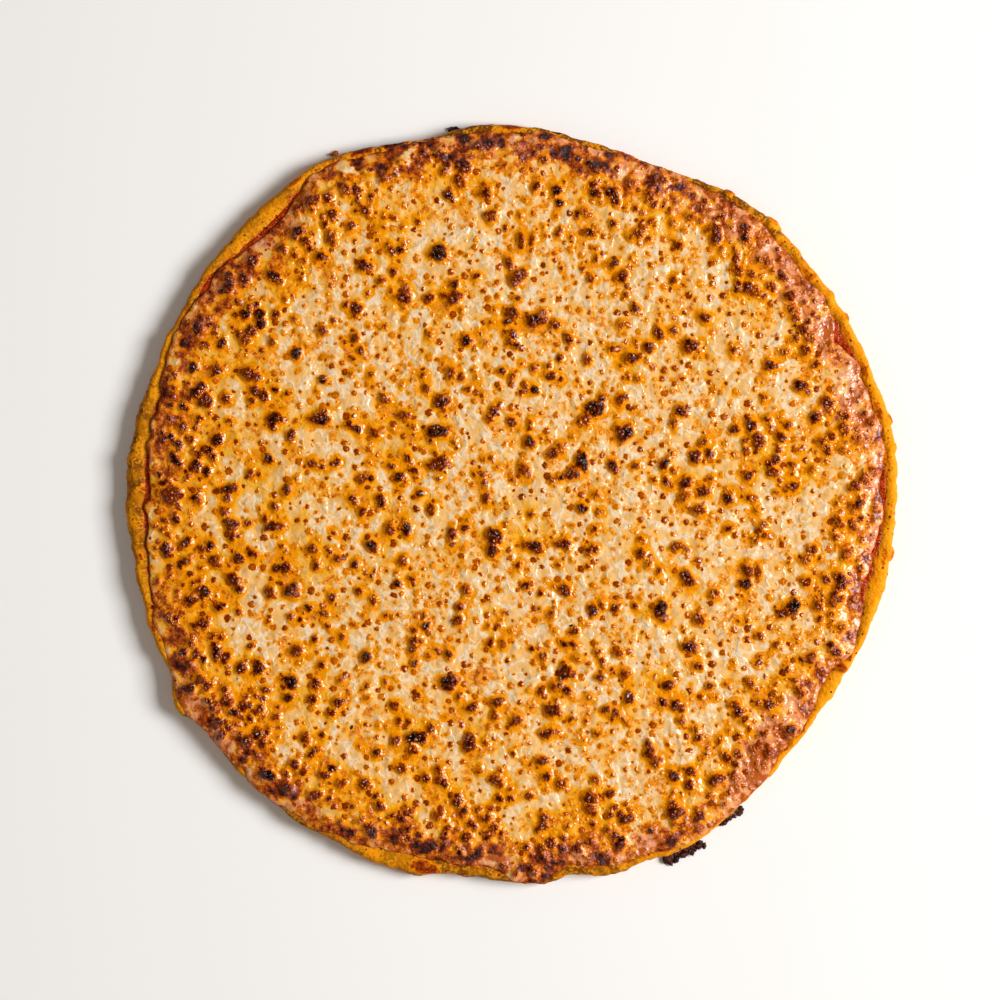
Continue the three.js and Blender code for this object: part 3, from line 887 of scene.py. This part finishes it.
def raiseBlisters(points, rows):  # what the blisters give to each point
    rise, level, glow = np.zeros((3, len(points)))
    depth = np.full(len(points), -5.0)  # how far inside a blister's edge
    order = np.argsort(points[:, 0])
    sortedX = points[order, 0]
    random = np.random.default_rng(cheese["seed"] + 1)
    for x, y, size, narrow, turn, brown in rows:
        phases = random.uniform(0, 2 * math.pi, 3)
        low, high = np.searchsorted(sortedX, [x - 3 * size, x + 3 * size])
        near = order[low:high]
        near = near[np.abs(points[near, 1] - y) < 3 * size]
        dx, dy = points[near, 0] - x, points[near, 1] - y
        tilt = math.radians(turn)
        along = dx * math.cos(tilt) + dy * math.sin(tilt)
        across = (dy * math.cos(tilt) - dx * math.sin(tilt)) / narrow
        spin = np.arctan2(across, along)
        wobble = 1 + 0.1 * np.sin(2 * spin + phases[0]) + 0.08 * np.sin(3 * spin + phases[1])
        wobble += 0.06 * np.sin(5 * spin + phases[2])
        away = np.hypot(along, across) / size * wobble
        height = min(cheese["domeMostRise"], cheese["domeRise"] * size)
        dome = height * np.clip(1.1 - away ** 2, 0, 1) ** 0.6
        rise[near] = np.maximum(rise[near], dome) + 0.3 * np.minimum(rise[near], dome)
        inside = size * (1 - away)
        closer = inside > depth[near]
        depth[near] = np.where(closer, inside, depth[near])
        level[near] = np.where(closer, brown, level[near])
        glow[near] += brown * smoothStep(away, 2.8, 0.8)
    return rise, depth, level, glow


def stripShare(points, x, y, length, width, turn):  # 0 in the middle of a strip, 1 at its outline
    dx, dy = points[:, 0] - x, points[:, 1] - y
    tilt = math.radians(turn)
    along = (dx * math.cos(tilt) + dy * math.sin(tilt)) / length
    across = (dy * math.cos(tilt) - dx * math.sin(tilt)) / width
    return np.hypot(along, across)


def cheeseSheet():  # a square grid, to be drawn out into a disc, with rows over its edge and under it
    bm = bmesh.new()
    bmesh.ops.create_grid(bm, x_segments=cheese["gridSide"], y_segments=cheese["gridSide"], size=1)
    row = bm.verts.layers.int.new("row")
    edges = [edge for edge in bm.edges if edge.is_boundary]
    for index in range(len(cheese["edgeRows"]) + 1):
        edges = extrudeOn(bm, edges, row, index + 1)
    bmesh.ops.holes_fill(bm, edges=edges, sides=0)
    return toMesh("meltedCheese", bm)


def squareToDisc(points):  # keeps areas even
    a, b = points[:, 0], points[:, 1]
    wide = np.abs(a) >= np.abs(b)
    long, short = np.where(wide, a, b), np.where(wide, b, a)
    turn = np.pi / 4 * np.divide(short, long, out=np.zeros_like(short), where=long != 0)
    turn = np.where(wide, turn, np.pi / 2 - turn)
    return long * np.cos(turn), long * np.sin(turn)


def makeCheese():
    mesh = cheeseSheet()
    points = meshArray(mesh, "co")
    row = takeLayer(mesh, "row")
    unitX, unitY = squareToDisc(points)
    angle, share = polar(np.stack([unitX, unitY], axis=1))
    edge, rim, inset = outlineAt(angle), rimAt(angle), cheeseInsetAt(angle)
    inset = np.maximum(inset - bulges(angle, cheese["overEdges"]), 0.8)
    radius = share * (edge - inset - cheese["edgeTop"])
    points = onRing(angle, radius, cheeseTop(angle, radius, edge, rim, inset))
    bed = sauceTop(inset, rim) + plan["gap"]
    top = row == 0
    flat = np.stack([points[:, 0], points[:, 1], np.zeros(len(points))], axis=1)
    inner = smoothStep(edge - radius - inset, 0.4, 5)
    rise, blister, level, glow = raiseBlisters(flat, allBlisters())
    wave = sum(height * fieldNoise(flat, size, size + 0.5, 2) for size, height in cheese["undulation"])
    for size, height in cheese["creases"]:
        ridge = 1 - 2.2 * np.abs(fieldNoise(flat, size, size + 0.9, 2))
        wave += height * np.clip(ridge, 0, 1) ** 3
    points[:, 2] += np.where(top, (0.25 + 0.75 * inner) * wave + rise, 0)
    for index, (insetStep, lift) in enumerate(cheese["edgeRows"], 1):
        at = row == index
        height = bed + lift * edgeThickness(angle)
        points[at] = onRing(angle[at], (edge - inset - insetStep)[at], height[at])
    under = row == len(cheese["edgeRows"]) + 1
    well = rim + plan["slopeWidth"]
    points[under] = onRing(angle[under], (edge - well)[under], (sauceTop(well, rim) + plan["gap"])[under])
    setPoints(mesh, points)
    fromEdge = edge - radius - inset
    clean = bulges(angle, cheese["cleanEdges"])
    saucy = 1.0 * smoothStep(fromEdge, 4, 0.5) * (1 - clean)
    pale = bulges(angle, cheese["paleSides"]) * smoothStep(fromEdge, 2, 7)
    tan = np.interp(fromEdge, *zip(*cheese["tanRings"])) * (1 - pale)
    tan += bulges(angle, cheese["darkerSides"]) * smoothStep(fromEdge, cheese["darkerWidth"], 1)
    glow += 1.1 * fieldNoise(flat, 30, 6, 2) - 0.1
    glow += 0.2 * smoothStep(fromEdge, 30, 6) + 0.5 * smoothStep(flat[:, 0], 40, -100)
    for turn, halfWidth, reach, sauciness, brown in cheese["stretches"]:
        here = bulges(angle, [[turn, halfWidth, 1]]) ** 0.6 * smoothStep(fromEdge, reach, 0.25 * reach)
        saucy = np.maximum(saucy, sauciness * here)
        tan += 0.6 * brown * here
    saucy += 0.9 * fieldNoise(flat, 5, 9, 2) * np.minimum(1, 2 * saucy)
    tan *= np.clip(1 + 1.8 * fieldNoise(flat, 6, 3, 2), 0.1, 1.6)
    tan *= (1 - 0.6 * clean) * (1 - 0.35 * np.clip(saucy, 0, 1))
    for x, y, length, width, turn in cheese["paleStrips"]:
        pale = smoothStep(stripShare(flat, x, y, length, width, turn), 1.2, 0.8)
        saucy, tan, glow = (values * (1 - pale) for values in (saucy, tan, glow))
        blister -= 3 * pale
    for x, y, length, width, turn in cheese["sauceSpots"]:
        saucy += 1.6 * smoothStep(stripShare(flat, x, y, length, width, turn), 1.3, 0.5)
    for x, y, size, amount in cheese["goldenPatches"]:
        glow += amount * smoothStep(np.hypot(flat[:, 0] - x, flat[:, 1] - y) / size, 1.2, 0.4)
    addLayer(mesh, "blister", blister)
    addLayer(mesh, "level", level)
    addLayer(mesh, "glow", glow)
    addLayer(mesh, "tan", tan)
    addLayer(mesh, "saucy", saucy)
    pointOutwards(mesh, triangles=True)
    finishPiece("meltedCheese", mesh, cheeseMaterial(), ["melted_cheese"])
    return points[top]


cheeseSurface = makeCheese()


# ---- charred crumbs at the foot of the crust, and the dark slivers on the cheese

crumbs = {
    "seed": 5,
    # angle, half-length in degrees, radius, spread, count, least and most size
    "clumps": [[296.5, 3.2, 156.2, 1.5, 70, 0.5, 1.3], [305, 2.0, 153.6, 0.7, 26, 0.4, 1.0],
               [99, 0.8, 152.4, 0.6, 10, 0.4, 0.9]],
    "golden": [117, 0.5, 157.6, 0.6, 7, 0.5, 1.1],
    # dark flecks on the cheese: x, y, turn, length, width
    "flecks": [[0, 84.0, -20, 2.6, 0.5], [34, 84.3, 0, 0.9, 0.6], [23.6, -48.4, 20, 1.6, 1.0],
               [-64, -89, 60, 2.0, 1.3], [-19, -122, 80, 2.2, 1.6], [-98, 110, 0, 1.4, 1.0]],
    "fleckThickness": 0.5,
}


def crumbMaterial(name, plain, toastLow, toastHigh):
    material, tree, shader = newMaterial(name, {"Specular IOR Level": 0.4})
    place = millimetrePlace(tree)
    rough = placeGroup(tree, grain, {"Place": place, "Fine": 0.4, "Coarse": 1.5})
    toast = remap(tree, rough["Coarse"], -0.2, 0.2, toastLow, toastHigh)
    colour = placeGroup(tree, browning, {"Plain": plain, "Toast": toast})[0]
    plug(tree, shader.inputs["Base Color"], colour)
    plug(tree, shader.inputs["Roughness"], remap(tree, rough["Fine"], -0.3, 0.3, 0.4, 0.8))
    raiseSurface(tree, shader, rough["Fine"], 0.0004)
    return material


def addCrumb(bm, x, y, size, random):
    made = bmesh.ops.create_icosphere(bm, subdivisions=2, radius=size)["verts"]
    stretch = random.uniform(0.6, 1.2, 3) * np.array([1, 1, 0.7])
    shift = Vector(random.uniform(0, 50, 3))
    for vert in made:
        bulge = 1 + 0.7 * noise.noise(vert.co / size * 1.6 + shift)
        vert.co = Vector([value * grow for value, grow in zip(vert.co * bulge, stretch)])
    lowest = min(vert.co.z for vert in made)
    lift = random.uniform(0, 0.8) * size
    bmesh.ops.translate(bm, verts=made, vec=(x, y, lift - lowest))


def makeFlecks(sheet):
    bm = bmesh.new()
    for x, y, turn, length, width in crumbs["flecks"]:
        made = bmesh.ops.create_icosphere(bm, subdivisions=2, radius=0.5)["verts"]
        bmesh.ops.scale(bm, verts=made, vec=(length, width, crumbs["fleckThickness"]))
        bmesh.ops.rotate(bm, verts=made, cent=(0, 0, 0), matrix=Matrix.Rotation(math.radians(turn), 3, "Z"))
        height = sheet[np.argmin(np.hypot(sheet[:, 0] - x, sheet[:, 1] - y)), 2]
        bmesh.ops.translate(bm, verts=made, vec=(x, y, height + 0.05))
    material = crumbMaterial("charredFleck", crust["plainColour"], 0.95, 1.1)
    finishPiece("charredFlecks", toMesh("charredFlecks", bm), material)


def makeCrumbs():
    random = np.random.default_rng(crumbs["seed"])
    for name, clumps, low, high in (("charredCrumbs", crumbs["clumps"], 0.9, 1.05),
                                    ("goldenCrumbs", [crumbs["golden"]], 0.2, 0.6)):
        bm = bmesh.new()
        for turn, halfLength, reach, spread, count, least, most in clumps:
            for _ in range(count):
                at = math.radians(turn + halfLength * random.uniform(-1, 1))
                radius = reach + spread * random.uniform(-1, 1)
                size = random.uniform(least, most)
                addCrumb(bm, radius * math.cos(at), radius * math.sin(at), size, random)
        material = crumbMaterial(name, crust["plainColour"], low, high)
        finishPiece(name, toMesh(name, bm), material)


makeCrumbs()
makeFlecks(cheeseSurface)


# ---- floor

def makeFloor():
    bm = bmesh.new()
    bmesh.ops.create_grid(bm, x_segments=1, y_segments=1, size=studio["floorSize"] * metres)
    mesh = toMesh("floor", bm)
    material, tree, shader = newMaterial("paleFloor", {"Roughness": 0.9, "Specular IOR Level": 0.1})
    shader.inputs["Base Color"].default_value = (*studio["floorColour"], 1)
    mesh.materials.append(material)
    floor = bpy.data.objects.new("floor", mesh)
    floor.location.z = -studio["floorDrop"] * metres
    scene.collection.objects.link(floor)


makeFloor()
print("floor laid")
